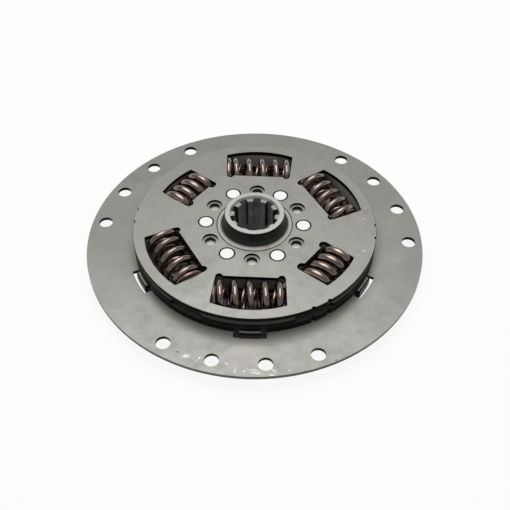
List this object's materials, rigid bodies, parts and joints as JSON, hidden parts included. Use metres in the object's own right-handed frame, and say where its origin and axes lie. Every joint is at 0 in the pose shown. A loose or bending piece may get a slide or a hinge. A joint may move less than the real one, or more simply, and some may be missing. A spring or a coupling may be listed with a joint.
{
  "type": "clutch disc",
  "caption": "Sprung clutch disc with a bolt-on outer flange, coil springs in windowed plates and a splined hub that twists a little against the flange.",
  "frame": {"origin": "on the hub axis, at the lower end of the hub that the disc stands on", "axes": "+Z along the hub axis towards the collar; -Y through the middle of one group of four bolt holes"},
  "size_m": [0.35, 0.35, 0.0528],
  "materials": {
    "hub_steel": "forged and turned, dull grey",
    "side_plate_steel": "pressed plate, phosphated, satin grey",
    "flange_steel": "pressed plate, phosphated, satin grey",
    "pack_steel": "pressed plate, phosphated, dark grey",
    "bright_rivet": "ground flush and bright",
    "dowel_steel": "turned, satin grey",
    "bearing_bronze": "plain bearing bronze, dull",
    "spring_steel": "oil-tempered and lacquered, dark bronze, glossy"
  },
  "bodies": {
    "driven_side": {"hub": "hub_steel", "front_side_plate": "side_plate_steel", "rear_side_plate": "side_plate_steel", "hub_rivets": "bright_rivet", "front_dowel_sleeves": "dowel_steel", "rear_dowel_sleeves": "dowel_steel"},
    "drive_side": {"flange_plate": "flange_steel", "lower_backing_plate": "pack_steel", "upper_backing_plate": "pack_steel", "lower_lobe_plate": "pack_steel", "upper_lobe_plate": "pack_steel", "pack_rivets": "pack_steel", "centring_bush": "bearing_bronze", "front_thrust_washer": "bearing_bronze", "rear_thrust_washer": "bearing_bronze", "outer_spring_front": "spring_steel", "outer_spring_right": "spring_steel", "outer_spring_rear": "spring_steel", "outer_spring_left": "spring_steel", "inner_spring_front": "spring_steel", "inner_spring_right": "spring_steel", "inner_spring_rear": "spring_steel", "inner_spring_left": "spring_steel", "short_spring_front": "spring_steel", "short_spring_rear": "spring_steel"}
  },
  "joints": [
    {"name": "damper_twist", "type": "hinge", "parent": "driven_side", "child": "drive_side", "pos_m": [0, 0, 0.0221], "axis": [0, 0, 1], "range_deg": [-2.3, 2.3], "stiffness_Nm_per_rad": 14400, "deforming": ["outer_spring_front", "outer_spring_right", "outer_spring_rear", "outer_spring_left", "inner_spring_front", "inner_spring_right", "inner_spring_rear", "inner_spring_left", "short_spring_front", "short_spring_rear"]}
  ]
}
